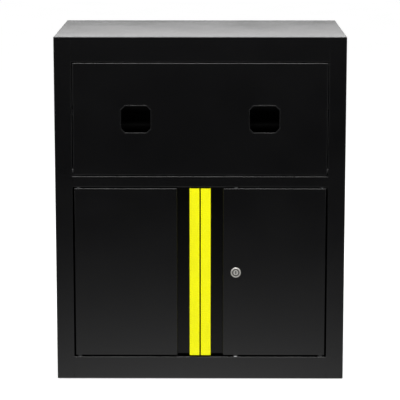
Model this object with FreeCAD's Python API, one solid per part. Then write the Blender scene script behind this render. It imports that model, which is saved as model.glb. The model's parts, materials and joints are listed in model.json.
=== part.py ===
"""Workshop cabinet with two hose reels, as separate solids in millimetres.

Frame: X to the right, the front faces -Y, Z up, and the origin is the middle of the footprint on the floor.
A folded sheet-steel carcass holds a cupboard with two doors below and two spring-driven reels above, behind
a flap that drops forwards and has an outlet in line with each reel.
"""
import FreeCAD, Part
import math
import os

Vector = FreeCAD.Vector

# Overall size, the sheet that the carcass is folded from, and how far a cutting tool runs past its work
WIDTH = 700.0
DEPTH = 460.0
HEIGHT = 842.0
SHEET = 1.2
INNER_BEND = 0.8
BEND = SHEET + INNER_BEND
FOOT_GAP = 2.0
STILE = 42.0
STILE_RETURN = 22.0
RAIL_RETURN = 30.0
BACK_FLANGE = 25.0
BASE_FLANGE = 41.0
LID_DROP = 40.0
TRAY_LAP = 6.0
OVERRUN = 1.0

# Front layout: the doors take what the rails, the flap and the gaps leave
BOTTOM_RAIL = 57.0
DOOR_LOWER_GAP = 4.4
DOOR_UPPER_GAP = 2.9
MIDDLE_RAIL = 26.6
FLAP_GAP = 2.6
FLAP_SIDE_GAP = 2.0
FLAP_HEIGHT = 271.6
TOP_RAIL = 59.9
DOOR_SIDE_GAP = 3.8
MEETING_GAP = 3.4

# Doors and flap: folded pans on pivot pins
PAN_DEPTH = 22.0
PAN_LIP = 12.0
PIVOT_INSET = 10.0
PIVOT_DEPTH = 7.0
PIN_R = 3.0
PIN_TAIL = 14.0
BUSH_WALL = 1.5
BUSH_FLANGE = 1.4
BUSH_RIM = 1.5
PIN_COLLAR = 4.0
PIN_COLLAR_WALL = 2.0
RUNNING_FIT = 0.05
SEAT = 0.3
STRIP_WIDTH = 23.9
STRIP_WALL = 2.0
STRIP_DEPTH = 16.0
STRIP_ROUND = 1.6
GROOVE_WIDTH = 30.0
GROOVE_DEPTH = 18.0
HAT_WIDTH = 60.0
HAT_DEPTH = 18.0
HAT_FOOT = 15.0

# Lock with two rods, in the right door
LOCK_X = 86.7
BEZEL_R = 12.5
BEZEL_PROUD = 2.5
BEZEL_ROUND = 2.0
LOCK_BODY_R = 9.5
LOCK_LENGTH = 10.0
LOCK_NUT_R = 13.8
LOCK_NUT_THICK = 4.0
PLUG_R = 6.6
PLUG_RING = 2.1
PLUG_DOME = 0.9
RING_DEPTH = 3.0
KEYWAY = (2.0, 8.0, 7.0)
CAM_THICK = 2.5
CAM_HALF_WIDTH = 5.5
CAM_ROUND = 5.0
CAM_END = 2.0
PLUG_TAIL = 7.0
ROD_TRAVEL = 12.0
ROD_SHOWN = 1.7
ROD_R = 4.5
ROD_DEPTH = 8.0
ROD_PLATE = 3.0
ROD_PLATE_END = 40.0
ROD_SHOULDER = 18.0
ROD_LUG = 14.0
ROD_PLATE_EDGE = 4.0
ROD_PLATE_CLEAR = 2.0
ROD_ROUND = 1.0
ROD_GUIDE_WIDTH = 24.0
ROD_GUIDE_HEIGHT = 12.0
ROD_GUIDE_WALL = 3.0
ROD_GUIDE_FROM_END = 45.0
CRANK_PIN_R = 1.5
CRANK_PLAY = 0.55

# Outlets in the flap and their edge trims
OUTLET_SPACING = 309.2
OUTLET_WIDTH = 71.0
OUTLET_HEIGHT = 64.0
OUTLET_CORNER = 10.0
TRIM_FLANGE = 1.0
TRIM_PROUD = 1.0
TRIM_WALL = 1.6
TRIM_LIP = 2.5
TRIM_LIP_LENGTH = 4.0

# Slotted stays of the flap
STAY_REACH = 150.0
STAY_EAR_ANGLE = 10.0
STAY_STUD_ANGLE = 28.0
STAY_SHEET = 3.0
STAY_HALF_WIDTH = 9.0
STAY_STUD_R = 4.0
STAY_CAP = 2.0
STAY_CAP_RIM = 2.5
STAY_EAR_RIM = 1.0
STUD_RIM = 3.0
STUD_PLATE_RIM = 7.0
STUD_PLATE = 3.0

# Hose reels
DRUM_FLANGE_R = 130.0
DRUM_CORE_R = 60.0
DRUM_WIDTH = 90.0
DRUM_SHEET = 1.5
DRUM_BEAD_R = 2.2
DRUM_FLOOR_GAP = 12.0
DRUM_BACK_GAP = 28.0
DRUM_PORT_R = 9.0
DRUM_PORT_BORE_R = 5.5
DRUM_PORT_LENGTH = 20.0
DRUM_PORT_FOOT = 4.0
DRUM_PORT_ANGLE = 50.0
DRUM_HOLES = 6
DRUM_HOLE_R = 14.0
AXLE_R = 10.0
AXLE_BORE_R = 4.0
HUB_WALL = 6.0
CASE_R = 82.0
CASE_WIDTH = 30.0
RATCHET_TEETH = 24
RATCHET_HEIGHT = 5.0
RATCHET_WIDTH = 6.0
SPRING_STRIP = 0.9
SPRING_TURNS = 11
SPRING_INNER_R = 15.0
SPRING_CLEAR = 2.0
SPRING_ROOM = 3.0
SPRING_HOOK = 3.0
ARM_SHEET = 3.0
ARM_GAP = 4.0
ARM_HEAD_R = 26.0
FRAME_LENGTH = 190.0
ARM_FOOT_HEIGHT = 34.0
ARM_WINDOW = 52.0
ARM_WINDOW_MARGIN = 14.0
PAWL_REACH = 50.0
PAWL_SLOPE = 5.0
PAWL_LIFT = 10.0
PAWL_TIP_GAP = 0.7
PAWL_PIN_R = 4.0
PAWL_BOSS_WALL = 4.0
PAWL_PIN_SHOULDER = 3.0
PAWL_PIN_CAP = 2.0
PAWL_PIN_CAP_RIM = 2.5
NUT_R = 17.0
NUT_THICK = 9.0
ELBOW_R = 11.0
ELBOW_NUT_R = 13.5
ELBOW_REACH = 28.0
PORT_R = 7.5
PORT_DEPTH = 14.0
ENTRY_MARGIN = 1.0
BOLT_R = 4.0
BOLT_INSET = 16.0
BOLT_HEAD = 5.3
BOLT_HEAD_R = 7.5
BOLT_NUT = 6.5
BOLT_END = 1.5

# Roller guide in front of each drum
GUIDE_SETBACK = 62.0
ROLLER_R = 10.0
ROLLER_PIN_R = 4.0
ROLLER_OPENING = 26.0
ROLLER_MARGIN = 3.0
GUIDE_SHEET = 3.0
GUIDE_CHEEK = 34.0
GUIDE_CHEEK_ROUND = 10.0
GUIDE_BELOW = 10.0
GUIDE_ABOVE = 4.0
GUIDE_POST = 48.0
GUIDE_FOOT = 76.0
GUIDE_FOOT_REACH = 26.0
GUIDE_BOLT_SPACING = 56.0
GUIDE_BOLT_REACH = 14.0
ROLLER_GAP = 1.0
ROLLER_PIN_END = 2.0
ROLLER_ROUND = 1.5

# Supply entries, shelf, feet and catches
GROMMET_BORE_R = 11.0
GROMMET_WALL = 4.0
GROMMET_FLANGE = 5.0
GROMMET_LIP = 3.0
WALL_HOLE_R = 4.25
WALL_HOLE_SPACING = 560.0
UPRIGHT_WIDTH = 28.0
UPRIGHT_DEPTH = 9.0
UPRIGHT_INSET = 52.0
SLOT_PITCH = 32.0
SLOT_HEIGHT = 14.0
SLOT_WIDTH = 5.0
SHELF_LEVEL = 192.0
SHELF_EDGE = 26.0
SHELF_FRONT_GAP = 36.0
SHELF_BACK_GAP = 12.0
SHELF_SIDE_GAP = 2.0
SHELF_CLIP_GAP = 2.0
CLIP_SHEET = 2.5
CLIP_REACH = 20.0
FOOT_R = 15.0
FOOT_STEM_R = 5.0
FOOT_INSET = 25.0
FOOT_ROUND = 0.8
FOOT_STEM_SHOWN = 9.0
FOOT_NUT_R = 9.0
FOOT_NUT_THICK = 5.0
CATCH_SIZE = (44.0, 14.0, 12.0)
CATCH_FROM_EDGE = 78.0
CATCH_ROUND = 1.0
CATCH_GROOVE = 1.2
CATCH_GROOVE_DEPTH = 0.5
CUPBOARD_TRAY_EDGE = 26.0
REEL_TRAY_EDGE = 20.0

# Planes and levels that follow from the sizes above
FRONT = -(DEPTH + BEZEL_PROUD) / 2.0 + BEZEL_PROUD
BACK = FRONT + DEPTH
SIDE = WIDTH / 2.0
OPENING = SIDE - STILE
DOOR_BOTTOM = BOTTOM_RAIL + DOOR_LOWER_GAP
FLAP_TOP = HEIGHT - TOP_RAIL - FLAP_GAP
FLAP_BOTTOM = FLAP_TOP - FLAP_HEIGHT
MIDDLE_TOP = FLAP_BOTTOM - FLAP_GAP
MIDDLE_BOTTOM = MIDDLE_TOP - MIDDLE_RAIL
DOOR_TOP = MIDDLE_BOTTOM - DOOR_UPPER_GAP
DOOR_EDGE = OPENING - DOOR_SIDE_GAP
STRIP_START = MEETING_GAP / 2.0
GROOVE_START = STRIP_START + STRIP_WIDTH
GROOVE_END = GROOVE_START + GROOVE_WIDTH
REEL_FLOOR = MIDDLE_TOP - SHEET
BACK_SHEET_FRONT = BACK - 2.0 * SHEET
PIVOT_Y = FRONT + PIVOT_DEPTH
PAN_BACK = FRONT + PAN_DEPTH
LOCK_Z = (DOOR_BOTTOM + DOOR_TOP) / 2.0
OUTLET_Z = (FLAP_BOTTOM + FLAP_TOP) / 2.0
OUTLET_X = OUTLET_SPACING / 2.0
ROLLER_LENGTH = DRUM_WIDTH - 2.0 * ROLLER_MARGIN


def box(x0, x1, y0, y1, z0, z1):
    """Block between two corners."""
    return Part.makeBox(x1 - x0, y1 - y0, z1 - z0, Vector(x0, y0, z0))


def rod(start, end, radius):
    """Cylinder from one point to another."""
    run = end - start
    return Part.makeCylinder(radius, run.Length, start, run)


def tube(start, end, radius, bore):
    """Cylinder with a bore right through."""
    return rod(start, end, radius).cut(rod(start, end, bore))


def merge(first, *others):
    """One solid out of several that touch or overlap."""
    return first.fuse(list(others)).removeSplitter()


def group(solids):
    """Separate solids that share a node."""
    return Part.makeCompound(list(solids))


def mirrored(shape):
    """The same piece on the other side of the middle plane."""
    return shape.mirror(Vector(0, 0, 0), Vector(1, 0, 0))


def in_space(axis, u, v, along):
    """Point of a profile plane, with the place along the axis square to it."""
    if axis == "X":
        return Vector(along, u, v)
    if axis == "Y":
        return Vector(u, along, v)
    return Vector(u, v, along)


def prism(points, axis, start, end):
    """Straight prism of a polygon, between two places along an axis."""
    corners = [in_space(axis, u, v, start) for u, v in points]
    face = Part.Face(Part.makePolygon(corners + corners[:1]))
    return face.extrude(in_space(axis, 0, 0, end - start))


def hexagon(axis, centre, start, end, radius):
    """Hexagonal prism across its corners, for nuts and bolt heads."""
    angles = [math.radians(60 * side) for side in range(6)]
    points = [(centre[0] + radius * math.cos(a), centre[1] + radius * math.sin(a)) for a in angles]
    return prism(points, axis, start, end)


def rounded(shape, radius, choose):
    """Fillet the edges that the rule chooses."""
    return shape.makeFillet(radius, [edge for edge in shape.Edges if choose(edge)])


def flat_at(edge, axis, place):
    """True for an edge that lies in the plane at this place along an axis."""
    size = edge.BoundBox
    spans = {"X": (size.XMin, size.XMax), "Y": (size.YMin, size.YMax), "Z": (size.ZMin, size.ZMax)}
    return all(abs(end - place) < 0.01 for end in spans[axis])


def runs_along(edge, axis):
    """True for a straight edge parallel to an axis."""
    size = edge.BoundBox
    spans = {"X": size.XLength, "Y": size.YLength, "Z": size.ZLength}
    return spans.pop(axis) > 0.01 and all(span < 0.01 for span in spans.values())


def offset_path(points, distance):
    """Path moved to its left by a distance, with mitred corners."""
    normals = []
    for (u0, v0), (u1, v1) in zip(points, points[1:]):
        length = math.hypot(u1 - u0, v1 - v0)
        normals.append((-(v1 - v0) / length, (u1 - u0) / length))
    before = [normals[0]] + normals
    after = normals + [normals[-1]]
    moved = []
    for (u, v), (a, b), (c, d) in zip(points, before, after):
        share = distance / (1.0 + a * c + b * d)
        moved.append((u + (a + c) * share, v + (b + d) * share))
    return moved


def bent_side(middle, offset, radius):
    """One side of a folded sheet: its ends, and three points of the arc at each fold."""
    stations = []
    ends = offset_path(middle, offset)
    for i in range(1, len(middle) - 1):
        (u0, v0), (u1, v1), (u2, v2) = middle[i - 1:i + 2]
        into = (u1 - u0, v1 - v0)
        out = (u2 - u1, v2 - v1)
        into_length = math.hypot(*into)
        out_length = math.hypot(*out)
        turn = math.atan2(into[0] * out[1] - into[1] * out[0], into[0] * out[0] + into[1] * out[1])
        side = math.copysign(1.0, turn)
        tangent = radius * math.tan(abs(turn) / 2.0)
        start = (u1 - into[0] / into_length * tangent, v1 - into[1] / into_length * tangent)
        end = (u1 + out[0] / out_length * tangent, v1 + out[1] / out_length * tangent)
        square = radius * side / into_length
        centre = (start[0] - into[1] * square, start[1] + into[0] * square)
        scale = (radius - offset * side) / radius
        to_corner = math.hypot(u1 - centre[0], v1 - centre[1])
        halfway = (u1 - centre[0]) * radius / to_corner, (v1 - centre[1]) * radius / to_corner
        to_start = (start[0] - centre[0], start[1] - centre[1])
        to_end = (end[0] - centre[0], end[1] - centre[1])
        arms = [to_start, halfway, to_end]
        stations.append([(centre[0] + u * scale, centre[1] + v * scale) for u, v in arms])
    return ends[0], stations, ends[-1]


def folded(points, axis, start, end, side=1.0):
    """Sheet folded along the path of its outer skin, with its thickness to the left (1) or right (-1)."""
    middle = offset_path(points, side * SHEET / 2.0)
    radius = BEND - SHEET / 2.0
    first, left, last = bent_side(middle, SHEET / 2.0, radius)
    far_first, right, far_last = bent_side(middle, -SHEET / 2.0, radius)
    loop = [first] + left + [last, far_last] + [arc[::-1] for arc in right[::-1]] + [far_first, first]
    edges = []
    place = None
    for station in loop:
        arc = station if isinstance(station, list) else [station]
        corners = [in_space(axis, u, v, start) for u, v in arc]
        if place is not None and (corners[0] - place).Length > 1e-7:
            edges.append(Part.LineSegment(place, corners[0]).toShape())
        if len(arc) == 3:
            edges.append(Part.Arc(*corners).toShape())
        place = corners[-1]
    return Part.Face(Part.Wire(edges)).extrude(in_space(axis, 0, 0, end - start))


def pan(x0, x1, z0, z1):
    """Sheet pan with rounded front edges, deep sides and a lip all round its open back."""
    block = box(x0, x1, FRONT, PAN_BACK, z0, z1)
    shell = rounded(block, BEND, lambda edge: not flat_at(edge, "Y", PAN_BACK))
    inside = box(x0 + SHEET, x1 - SHEET, FRONT + SHEET, PAN_BACK - SHEET, z0 + SHEET, z1 - SHEET)
    mouth = box(x0 + PAN_LIP, x1 - PAN_LIP, FRONT + SHEET, PAN_BACK + SHEET, z0 + PAN_LIP, z1 - PAN_LIP)
    return shell.cut([inside, mouth])


def octagon(half_width, half_height, corner):
    """Rectangle with its corners cut off, about its own middle."""
    right = [
        (half_width, -half_height + corner),
        (half_width, half_height - corner),
        (half_width - corner, half_height),
    ]
    top_left = [(-half_width + corner, half_height), (-half_width, half_height - corner)]
    return right + top_left + [(-u, -v) for u, v in right[1:2]] + [
        (-half_width + corner, -half_height),
        (half_width - corner, -half_height),
    ]


def outlet_prism(centre_x, growth, y0, y1):
    """Prism of the outlet's outline, grown on every side."""
    outline = octagon(
        OUTLET_WIDTH / 2.0 + growth,
        OUTLET_HEIGHT / 2.0 + growth,
        OUTLET_CORNER + growth * (2.0 - math.sqrt(2.0)),
    )
    return prism([(centre_x + u, OUTLET_Z + v) for u, v in outline], "Y", y0, y1)


def lid_holes():
    """Holes for fixing the cabinet to a wall, through the lid's back flange."""
    z = HEIGHT - LID_DROP / 2.0
    places = (-WALL_HOLE_SPACING / 2.0, WALL_HOLE_SPACING / 2.0)
    return [rod(Vector(x, BACK - 4.0 * SHEET, z), Vector(x, BACK + SHEET, z), WALL_HOLE_R) for x in places]


def carcass_edges(shape):
    """Round the top and bottom outer edges of the whole carcass off one of its pieces."""
    outside = box(-SIDE, SIDE, FRONT, BACK, FOOT_GAP, HEIGHT)
    ends = rounded(outside, BEND, lambda edge: flat_at(edge, "Z", FOOT_GAP) or flat_at(edge, "Z", HEIGHT))
    return shape.common(ends)


def side_panel():
    """Right side: one sheet folded into the front stile, its return and the back flange."""
    path = [
        (SIDE - BACK_FLANGE, BACK),
        (SIDE, BACK),
        (SIDE, FRONT),
        (OPENING, FRONT),
        (OPENING, FRONT + STILE_RETURN),
    ]
    top = HEIGHT - SHEET
    wall = folded(path, "Z", FOOT_GAP, top, side=-1.0)
    web = SIDE - SHEET / 2.0
    foot = box(SIDE - BASE_FLANGE, web, FRONT + SHEET / 2.0, BACK - SHEET / 2.0, FOOT_GAP, FOOT_GAP + SHEET)
    head = box(SIDE - STILE / 2.0, web, FRONT + SHEET / 2.0, BACK - 2.0 * SHEET, top - SHEET, top)
    panel = carcass_edges(merge(wall, head, foot))
    z = FLAP_BOTTOM + PIVOT_INSET
    start = Vector(OPENING - SHEET, PIVOT_Y, z)
    bush_hole = rod(start, Vector(OPENING + 2.0 * SHEET, PIVOT_Y, z), PIN_R + BUSH_WALL)
    stems = [
        rod(Vector(x, y, 0), Vector(x, y, FOOT_GAP + 2 * SHEET), FOOT_STEM_R)
        for x, y in foot_places() if x > 0
    ]
    return panel.cut([bush_hole] + stems)


def foot_places():
    """Middles of the four feet."""
    xs = (-SIDE + FOOT_INSET, SIDE - FOOT_INSET)
    ys = (FRONT + FOOT_INSET, BACK - FOOT_INSET - BACK_FLANGE / 2.0)
    return [(x, y) for x in xs for y in ys]


def top_panel():
    """Lid, folded down in front as the top rail and at the back as the fixing flange."""
    bottom = HEIGHT - TOP_RAIL
    lid = box(-SIDE, SIDE, FRONT, BACK, HEIGHT - SHEET, HEIGHT)
    lid = rounded(lid, BEND, lambda edge: runs_along(edge, "Z"))
    rail = box(-OPENING, OPENING, FRONT, FRONT + RAIL_RETURN, bottom, HEIGHT - SHEET / 2.0)
    rail = rounded(rail, BEND, lambda edge: flat_at(edge, "Y", FRONT) and flat_at(edge, "Z", bottom))
    hollow = box(-OPENING, OPENING, FRONT + SHEET, FRONT + RAIL_RETURN, bottom + SHEET, HEIGHT)
    reach = SIDE - BACK_FLANGE
    drop = box(-reach, reach, BACK - SHEET, BACK, HEIGHT - LID_DROP, HEIGHT - SHEET / 2.0)
    return carcass_edges(merge(lid, rail.cut(hollow), drop)).cut(lid_holes())


def rail(bottom, top, holes):
    """Channel between the stiles, open to the back, with round holes square to its flanges."""
    path = [
        (FRONT + RAIL_RETURN, top),
        (FRONT, top),
        (FRONT, bottom),
        (FRONT + RAIL_RETURN, bottom),
    ]
    channel = folded(path, "X", -OPENING, OPENING)
    reach = Vector(0, 0, 2.0 * SHEET)
    drills = []
    for x, y, z, radius in holes:
        middle = Vector(x, y, z)
        drills.append(rod(middle - reach, middle + reach, radius))
    return channel.cut(drills)


def rail_holes(z):
    """Holes of the two door bushes and of the lock rod, in a rail's flange at this height."""
    bush = PIN_R + BUSH_WALL
    pivot = DOOR_EDGE - PIVOT_INSET
    return [
        (-pivot, PIVOT_Y, z, bush),
        (pivot, PIVOT_Y, z, bush),
        (LOCK_X, FRONT + ROD_DEPTH, z, ROD_R + 2.0 * SEAT),
    ]


def floor_tray(top, edge):
    """Level sheet between the side panels with its back and side edges folded down."""
    inner = SIDE - SHEET
    y0 = FRONT + RAIL_RETURN - TRAY_LAP
    y1 = BACK_SHEET_FRONT
    tray = box(-inner, inner, y0, y1, top - edge, top)
    hollow = box(-inner + SHEET, inner - SHEET, y0 - SHEET, y1 - SHEET, top - edge - SHEET, top - SHEET)
    return tray.cut(hollow)


def back_panel():
    """Flat back inside the side panels' flanges, with the supply entries."""
    reach = SIDE - BEND
    bottom = FOOT_GAP + SHEET
    sheet = box(-reach, reach, BACK_SHEET_FRONT, BACK - SHEET, bottom, HEIGHT - SHEET)
    radius = GROMMET_BORE_R + GROMMET_WALL
    z = axle_z()
    through = Vector(0, 5.0 * SHEET, 0)
    starts = [Vector(x, BACK - 4.0 * SHEET, z) for x in entry_places()]
    return sheet.cut([rod(start, start + through, radius) for start in starts] + lid_holes())


def axle_z():
    """Height of the reels' axles."""
    return REEL_FLOOR + DRUM_FLOOR_GAP + DRUM_FLANGE_R


def axle_y():
    """Place of the reels' axles, front to back."""
    return BACK_SHEET_FRONT - DRUM_BACK_GAP - DRUM_FLANGE_R


def arm_planes():
    """Inner faces of a reel's two arms, from the reel's own middle: inlet side, spring side."""
    flange = DRUM_WIDTH / 2.0 + DRUM_SHEET
    return -flange - ARM_GAP, flange + CASE_WIDTH + ARM_GAP


def entry_places():
    """Places of the supply entries across the back, in line with the inlet ports."""
    inlet = arm_planes()[0] - ARM_SHEET - NUT_THICK - ELBOW_NUT_R - ENTRY_MARGIN
    return [centre + inlet for centre in (-OUTLET_X, OUTLET_X)]


def grommets():
    """Rubber rings in the supply entries: a sleeve with a flange on each side of the back."""
    rings = []
    for x in entry_places():
        outer = GROMMET_BORE_R + GROMMET_WALL

        def ring(y0, y1, radius):
            return rod(Vector(x, y0, axle_z()), Vector(x, y1, axle_z()), radius)

        body = merge(
            ring(BACK_SHEET_FRONT - GROMMET_LIP, BACK_SHEET_FRONT, outer + GROMMET_FLANGE),
            ring(BACK_SHEET_FRONT, BACK - SHEET, outer),
            ring(BACK - SHEET, BACK, outer + GROMMET_FLANGE),
        )
        bore = ring(BACK_SHEET_FRONT - GROMMET_LIP - OVERRUN, BACK + OVERRUN, GROMMET_BORE_R)
        rings.append(body.cut(bore))
    return group(rings)


def upright_places():
    """Middles of the slotted uprights, front to back, on the right side."""
    return FRONT + STILE_RETURN + UPRIGHT_INSET, BACK_SHEET_FRONT - UPRIGHT_INSET


def upright_span():
    """Lower and upper end of the uprights, between the cupboard's floor and ceiling."""
    return BOTTOM_RAIL - SHEET, REEL_FLOOR - REEL_TRAY_EDGE


def slot_levels():
    """Bottoms of the slots in an upright."""
    low, high = upright_span()
    count = int((high - low - 2.0 * SLOT_PITCH) / SLOT_PITCH) + 1
    return [low + SLOT_PITCH + i * SLOT_PITCH for i in range(count)]


def shelf_slot():
    """Bottom of the slot that holds the shelf's clips: the one nearest to the wanted level."""
    wanted = upright_span()[0] + SHELF_LEVEL
    return min(slot_levels(), key=lambda level: abs(level - wanted))


def upright(y):
    """Slotted channel on the right side panel, with its web towards the shelf."""
    wall = SIDE - SHEET
    web = wall - UPRIGHT_DEPTH
    half = UPRIGHT_WIDTH / 2.0
    low, high = upright_span()
    path = [(wall, y + half), (web, y + half), (web, y - half), (wall, y - half)]
    channel = folded(path, "Z", low, high)
    slots = [
        box(web - SHEET, web + 2 * SHEET, y - SLOT_WIDTH / 2.0, y + SLOT_WIDTH / 2.0, z, z + SLOT_HEIGHT)
        for z in slot_levels()
    ]
    return channel.cut(slots)


def shelf_clip(y):
    """Bracket hooked into a slot of the right upright, with a level tongue under the shelf."""
    web = SIDE - SHEET - UPRIGHT_DEPTH
    z = shelf_slot()
    middle = z + SLOT_HEIGHT / 2.0
    half = UPRIGHT_WIDTH / 2.0 - BEND
    thin = SLOT_WIDTH / 2.0 - SEAT
    tongue = box(web - CLIP_REACH, web, y - half, y + half, z + SLOT_HEIGHT - CLIP_SHEET, z + SLOT_HEIGHT)
    back = box(web - CLIP_SHEET, web, y - half, y + half, z - SLOT_HEIGHT / 2.0, z + SLOT_HEIGHT)
    behind = web + SHEET + SEAT
    end = web + SHEET + CLIP_SHEET
    hook = box(web - CLIP_SHEET, end, y - thin, y + thin, z, middle)
    turned = box(behind, end, y - thin, y + thin, z - SLOT_HEIGHT / 4.0, middle)
    return merge(tongue, back, hook, turned)


def adjustable_shelf():
    """Shelf of the cupboard: a sheet with all four edges folded down, lying on the clips."""
    bottom = shelf_slot() + SLOT_HEIGHT
    half = SIDE - SHEET - UPRIGHT_DEPTH - SHELF_SIDE_GAP
    y0 = PAN_BACK + SHELF_FRONT_GAP
    y1 = BACK_SHEET_FRONT - SHELF_BACK_GAP
    top = bottom + SHELF_EDGE
    outside = rounded(box(-half, half, y0, y1, bottom, top), BEND, lambda edge: flat_at(edge, "Z", top))
    inside = box(-half + SHEET, half - SHEET, y0 + SHEET, y1 - SHEET, bottom + SHEET, top - SHEET)
    lip = CLIP_REACH + SHELF_CLIP_GAP
    mouth = box(-half + lip, half - lip, y0 + lip, y1 - lip, bottom - SHEET, bottom + 2 * SHEET)
    return outside.cut([inside, mouth])


def feet():
    """Four moulded feet under the side panels' base flanges, each with a stem and a nut."""
    solids = []
    for x, y in foot_places():
        seat = FOOT_GAP + SHEET
        pad = rod(Vector(x, y, 0), Vector(x, y, FOOT_GAP), FOOT_R)
        pad = rounded(pad, FOOT_ROUND, lambda edge: flat_at(edge, "Z", 0.0))
        stem = rod(Vector(x, y, FOOT_GAP / 2.0), Vector(x, y, seat + FOOT_STEM_SHOWN), FOOT_STEM_R)
        nut = hexagon("Z", (x, y), seat, seat + FOOT_NUT_THICK, FOOT_NUT_R)
        solids.append(merge(pad, stem, nut))
    return group(solids)


def bush(hole, outwards, flange):
    """Flanged bush: its sleeve lies in a sheet's hole, and its flange on the side the pin comes from."""
    sleeve = rod(hole - outwards * (2.0 * SHEET), hole + outwards * flange, PIN_R + BUSH_WALL)
    collar = rod(hole, hole + outwards * flange, PIN_R + BUSH_WALL + BUSH_RIM)
    bore = rod(hole - outwards * (3.0 * SHEET), hole + outwards * (flange + SHEET), PIN_R + RUNNING_FIT)
    return merge(sleeve, collar).cut(bore)


def pivot_bushes():
    """Bushes of the doors, in the rails, and of the flap, in the stiles' returns."""
    up = Vector(0, 0, 1)
    pivot = DOOR_EDGE - PIVOT_INSET
    solids = []
    for side in (-1, 1):
        solids.append(bush(Vector(side * pivot, PIVOT_Y, BOTTOM_RAIL), up, DOOR_LOWER_GAP - SEAT))
        solids.append(bush(Vector(side * pivot, PIVOT_Y, MIDDLE_BOTTOM), -up, BUSH_FLANGE))
        hinge = Vector(side * OPENING, PIVOT_Y, FLAP_BOTTOM + PIVOT_INSET)
        solids.append(bush(hinge, Vector(-side, 0, 0), FLAP_SIDE_GAP - SEAT))
    return group(solids)


def pin(edge_face, inwards, tail):
    """Pivot pin: through a pan's flange, with a collar inside the pan and a tail into its bush."""
    shank = rod(edge_face - inwards * tail, edge_face + inwards * PIN_TAIL, PIN_R)
    inner_face = edge_face + inwards * SHEET
    collar = rod(inner_face, inner_face + inwards * PIN_COLLAR, PIN_R + PIN_COLLAR_WALL)
    return merge(shank, collar)


def door_pins():
    """Pins of the right door."""
    up = Vector(0, 0, 1)
    x = DOOR_EDGE - PIVOT_INSET
    lower = pin(Vector(x, PIVOT_Y, DOOR_BOTTOM), up, DOOR_LOWER_GAP + 2 * SHEET)
    upper = pin(Vector(x, PIVOT_Y, DOOR_TOP), -up, DOOR_UPPER_GAP + 2 * SHEET)
    return group([lower, upper])


def catches():
    """Magnetic catches: one behind each door's free edge and two behind the flap's top edge."""
    width, depth, height = CATCH_SIZE
    face = PAN_BACK + SEAT
    solids = []
    for x, under in (
        (-CATCH_FROM_EDGE, MIDDLE_BOTTOM),
        (CATCH_FROM_EDGE + width, MIDDLE_BOTTOM),
        (-OPENING + CATCH_FROM_EDGE, HEIGHT - TOP_RAIL),
        (OPENING - CATCH_FROM_EDGE, HEIGHT - TOP_RAIL),
    ):
        block = box(x - width / 2.0, x + width / 2.0, face, face + depth, under - height, under)
        block = rounded(block, CATCH_ROUND, lambda edge: not flat_at(edge, "Z", under))
        reach = width / 3.0
        half = CATCH_GROOVE / 2.0
        bottom = face + CATCH_GROOVE_DEPTH
        grooves = [
            box(x - reach, x + reach, face - OVERRUN, bottom, z - half, z + half)
            for z in (under - height * 0.35, under - height * 0.65)
        ]
        solids.append(block.cut(grooves))
    return group(solids)


def door_panel():
    """Right door: one sheet folded into the strip's seat, the finger groove, the face and the back lips."""
    seat = STRIP_START + STRIP_WALL
    groove = GROOVE_START - STRIP_WALL
    set_back = FRONT + STRIP_WALL
    path = [
        (seat + PAN_LIP, PAN_BACK),
        (seat, PAN_BACK),
        (seat, set_back),
        (groove, set_back),
        (groove, FRONT + GROOVE_DEPTH),
        (GROOVE_END, FRONT + GROOVE_DEPTH),
        (GROOVE_END, FRONT),
        (DOOR_EDGE, FRONT),
        (DOOR_EDGE, PAN_BACK),
        (DOOR_EDGE - PAN_LIP, PAN_BACK),
    ]
    sheet = folded(path, "Z", DOOR_BOTTOM, DOOR_TOP)
    skin = SHEET / 2.0
    flanges = []
    for z in (DOOR_BOTTOM, DOOR_TOP - SHEET):
        for x0, x1, front in (
            (GROOVE_END + skin, DOOR_EDGE - skin, FRONT),
            (seat + skin, groove - skin, set_back),
            (groove - SHEET, GROOVE_END + SHEET, FRONT + GROOVE_DEPTH),
        ):
            flanges.append(box(x0, x1, front + skin, PAN_BACK, z, z + SHEET))
    for z in (DOOR_BOTTOM, DOOR_TOP - PAN_LIP):
        flanges.append(box(seat + SHEET, DOOR_EDGE - SHEET, PAN_BACK - SHEET, PAN_BACK, z, z + PAN_LIP))
    envelope = box(0, SIDE, FRONT, PAN_BACK, DOOR_BOTTOM, DOOR_TOP)
    envelope = rounded(envelope, BEND, lambda edge: flat_at(edge, "Y", FRONT) and runs_along(edge, "X"))
    panel = merge(sheet, *flanges).common(envelope)
    x = DOOR_EDGE - PIVOT_INSET
    low = Vector(x, PIVOT_Y, DOOR_BOTTOM - OVERRUN)
    high = Vector(x, PIVOT_Y, DOOR_TOP + OVERRUN)
    return panel.cut(rod(low, high, PIN_R))


def door_stiffener():
    """Hat-shaped post from the bottom to the top of the right door, behind its face."""
    middle = (GROOVE_END + DOOR_EDGE) / 2.0
    half = HAT_WIDTH / 2.0
    face = FRONT + SHEET
    path = [
        (middle - half - HAT_FOOT, face),
        (middle - half, face),
        (middle - half, face + HAT_DEPTH),
        (middle + half, face + HAT_DEPTH),
        (middle + half, face),
        (middle + half + HAT_FOOT, face),
    ]
    return folded(offset_path(path, SHEET), "Z", DOOR_BOTTOM + SHEET, DOOR_TOP - SHEET, side=-1.0)


def handle_strip():
    """Pull profile over the right door's meeting edge."""
    back = FRONT + STRIP_DEPTH
    outside = box(STRIP_START, GROOVE_START, FRONT, back, DOOR_BOTTOM, DOOR_TOP)

    def front_corner(edge):
        return runs_along(edge, "Z") and flat_at(edge, "Y", FRONT)

    outside = rounded(outside, STRIP_ROUND, front_corner)
    x0 = STRIP_START + STRIP_WALL
    x1 = GROOVE_START - STRIP_WALL
    z0 = DOOR_BOTTOM - OVERRUN
    z1 = DOOR_TOP + OVERRUN
    return outside.cut(box(x0, x1, FRONT + STRIP_WALL, back + OVERRUN, z0, z1))


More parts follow.
